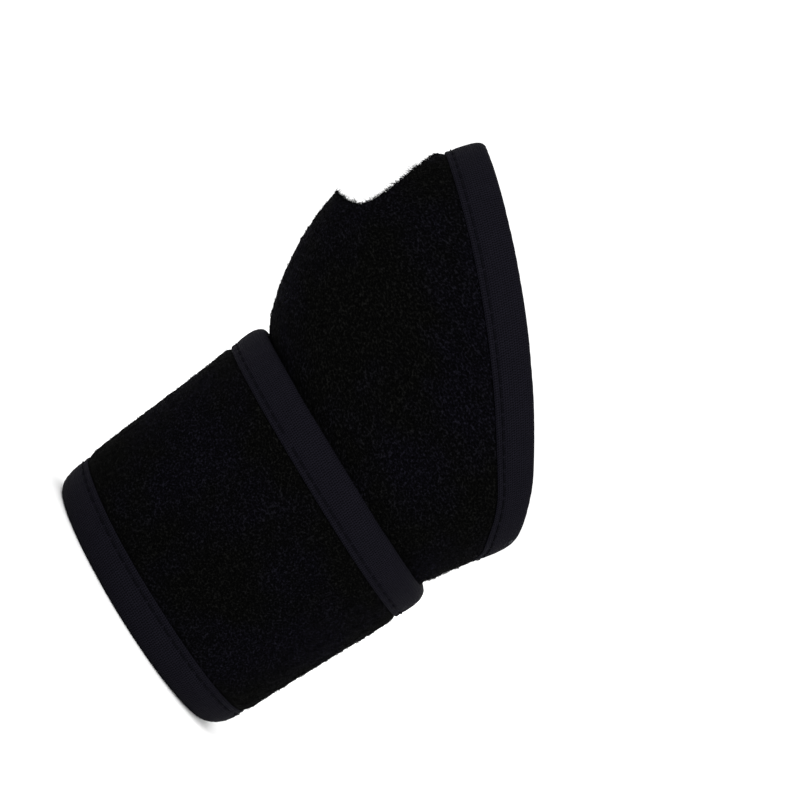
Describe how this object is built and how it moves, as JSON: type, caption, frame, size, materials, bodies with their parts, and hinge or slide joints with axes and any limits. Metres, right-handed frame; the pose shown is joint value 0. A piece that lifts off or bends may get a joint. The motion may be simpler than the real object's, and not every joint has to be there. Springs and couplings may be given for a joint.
{
  "type": "wrist support brace",
  "caption": "Soft wrap-round wrist and palm support: padded loop-faced strip with a thumb hole, edge tape and a hook-and-loop tab.",
  "frame": {"origin": "middle of the opening for the forearm, in the plane of the proximal rim that the brace stands on", "axes": "+Z from the forearm to the fingers, -Y is the back of the hand, -X the thumb side, +X the little-finger side (right hand)"},
  "size_m": [0.099, 0.0608, 0.1341],
  "materials": {
    "foam": "soft closed-cell foam, matt black",
    "loop_pile": "unbroken loop pile, matt black",
    "lining": "fine jersey knit, matt black",
    "edge_tape": "knitted elastic binding tape, blue-black with a soft sheen",
    "thread": "polyester sewing thread, black",
    "hook_tape": "woven nylon hook tape, black"
  },
  "bodies": {
    "wrap": {"hand_core": "foam", "hand_loop_face": "loop_pile", "hand_lining": "lining", "hand_distal_binding": "edge_tape", "hand_proximal_binding": "edge_tape", "flap_end_binding": "edge_tape", "hand_distal_seam": "thread", "hand_proximal_seam": "thread", "flap_end_seam": "thread"},
    "strap_back": {"back_core": "foam", "back_loop_face": "loop_pile", "back_lining": "lining", "back_distal_binding": "edge_tape", "back_proximal_binding": "edge_tape", "back_distal_seam": "thread", "back_proximal_seam": "thread"},
    "strap_side": {"side_core": "foam", "side_loop_face": "loop_pile", "side_lining": "lining", "side_distal_binding": "edge_tape", "side_proximal_binding": "edge_tape", "side_distal_seam": "thread", "side_proximal_seam": "thread"},
    "tab": {"tab_core": "foam", "tab_loop_face": "loop_pile", "tab_lining": "lining", "tab_binding": "edge_tape", "tab_seam": "thread", "hook_patch": "hook_tape", "hook_seam": "thread"}
  },
  "joints": [
    {"name": "strap_lift", "type": "hinge", "parent": "wrap", "child": "strap_back", "pos_m": [-0.04154, -0.00834, 0], "axis": [0, 0, -1], "range_deg": [0, 48]},
    {"name": "strap_unwrap", "type": "hinge", "parent": "strap_back", "child": "strap_side", "pos_m": [0.0239, -0.0226, 0], "axis": [0, 0, -1], "range_deg": [0, 80]},
    {"name": "tab_peel", "type": "hinge", "parent": "strap_side", "child": "tab", "pos_m": [0.036, 0.01255, 0], "axis": [0, 0, -1], "range_deg": [0, 110]}
  ],
  "couplings": [
    {"joint": "strap_lift", "follows": "strap_unwrap", "ratio": 0.6}
  ]
}
